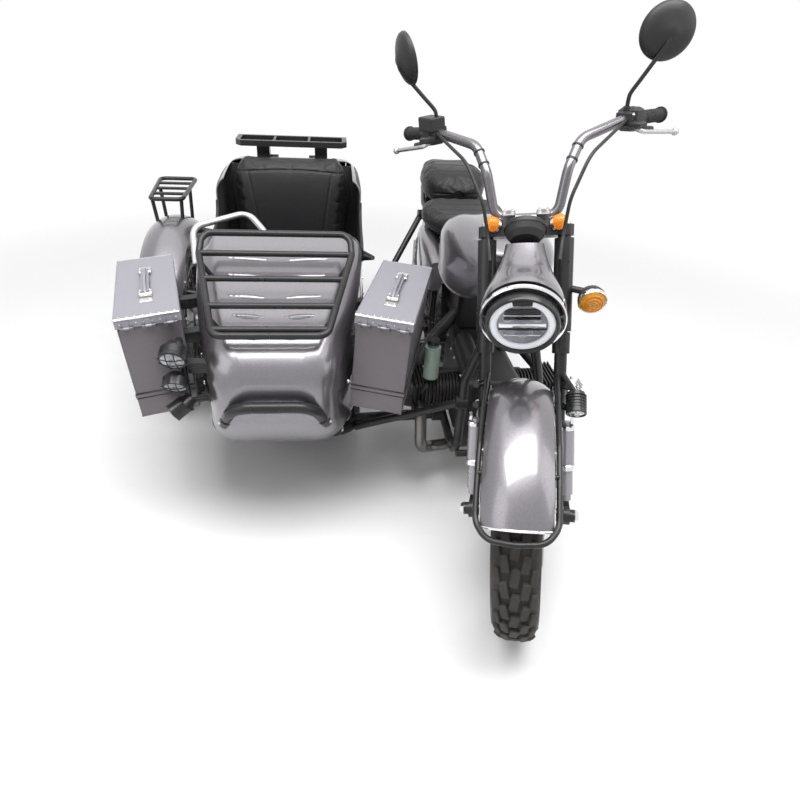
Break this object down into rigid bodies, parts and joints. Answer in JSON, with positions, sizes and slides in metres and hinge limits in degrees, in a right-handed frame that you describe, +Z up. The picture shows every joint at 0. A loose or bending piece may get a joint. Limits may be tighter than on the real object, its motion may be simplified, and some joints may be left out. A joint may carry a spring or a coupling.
{
  "type": "sidecar motorcycle",
  "caption": "Flat-twin motorcycle with a steel-bodied sidecar, spoked wheels, steel side boxes, nose rack and steerable front end, parked with the front wheel turned.",
  "frame": {"origin": "on the ground at the middle of the whole machine's outline", "axes": "+Z up, -Y forward, +X to the rider's left; the sidecar is on the -X side"},
  "size_m": [1.6546, 2.157, 1.5138],
  "materials": {
    "black_metal": "satin black powder coat",
    "paint": "glossy warm grey metallic",
    "box_paint": "satin grey paint on steel",
    "engine_black": "black engine enamel",
    "chrome": "polished",
    "spring": "painted springs and covers",
    "leather": "black, stitched",
    "satin_grey": "satin grey",
    "lamp": "black housing with clear lens",
    "amber": "amber lens",
    "red": "red lens",
    "bottle": "translucent bottle",
    "plastic": "black, fine grain",
    "tyre": "block tread, dusty",
    "wheel_metal": "black rim, bright spokes"
  },
  "bodies": {
    "chassis": {"bike_frame": "black_metal", "engine_block": "engine_black", "cylinders": "engine_black", "intake": "engine_black", "exhaust": "chrome", "swingarm": "black_metal", "final_drive": "black_metal", "suspension_units": "spring", "fuel_tank": "paint", "rider_saddle": "leather", "pillion_seat": "leather", "rear_fender": "paint", "rear_lamps": "red", "side_covers": "paint", "fluid_bottle": "bottle", "foot_pegs": "black_metal", "sidecar_frame": "black_metal", "sidecar_arm": "black_metal", "sidecar_tub": "paint", "sidecar_seat": "leather", "sidecar_backrest": "leather", "nose_rack": "black_metal", "grab_rail": "satin_grey", "front_bumper": "black_metal", "sidecar_fender": "paint", "fender_rack": "black_metal", "carrier_tray": "black_metal", "driving_lamps": "lamp", "sidecar_brackets": "black_metal", "inner_box": "box_paint", "outer_box": "box_paint"},
    "steering": {"fork": "black_metal", "fork_covers": "paint", "leading_links": "black_metal", "front_shocks": "spring", "headlight_nacelle": "paint", "headlight": "lamp", "instrument_pod": "plastic", "handlebar": "paint", "hand_controls": "plastic", "mirrors": "black_metal", "front_fender": "paint", "fender_guard": "black_metal", "indicator_lamps": "amber", "auxiliary_lamp": "lamp", "brake_caliper": "engine_black", "control_cables": "plastic"},
    "front_wheel": {"front_tyre": "tyre", "front_wheel": "wheel_metal"},
    "rear_wheel": {"rear_tyre": "tyre", "rear_wheel": "wheel_metal"},
    "sidecar_wheel": {"sidecar_tyre": "tyre", "sidecar_wheel": "wheel_metal"},
    "inner_lid": {"inner_box_lid": "box_paint"},
    "outer_lid": {"outer_box_lid": "box_paint"},
    "trunk_lid": {"trunk_lid": "paint"}
  },
  "joints": [
    {"name": "steering", "type": "hinge", "parent": "chassis", "child": "steering", "pos_m": [0.42499, -0.43587, 0.79909], "axis": [0, 0.454, 0.891], "range_deg": [-19, 57]},
    {"name": "front_spin", "type": "hinge", "parent": "steering", "child": "front_wheel", "pos_m": [0.39871, -0.76458, 0.32209], "axis": [0.9455, -0.2901, 0.1478], "continuous": true},
    {"name": "rear_spin", "type": "hinge", "parent": "chassis", "child": "rear_wheel", "pos_m": [0.42499, 0.66651, 0.325], "axis": [1, 0, 0], "continuous": true},
    {"name": "sidecar_spin", "type": "hinge", "parent": "chassis", "child": "sidecar_wheel", "pos_m": [-0.71501, 0.38651, 0.325], "axis": [1, 0, 0], "continuous": true},
    {"name": "inner_lid_hinge", "type": "hinge", "parent": "chassis", "child": "inner_lid", "pos_m": [0.03622, -0.45033, 0.72172], "axis": [0.9646, -0.2585, -0.0523], "range_deg": [0, 105]},
    {"name": "outer_lid_hinge", "type": "hinge", "parent": "chassis", "child": "outer_lid", "pos_m": [-0.58224, -0.46633, 0.73772], "axis": [0.9646, 0.2585, 0.0523], "range_deg": [0, 105]},
    {"name": "trunk_hinge", "type": "hinge", "parent": "chassis", "child": "trunk_lid", "pos_m": [-0.26701, 0.82651, 0.906], "axis": [1, 0, 0], "range_deg": [0, 75]}
  ]
}
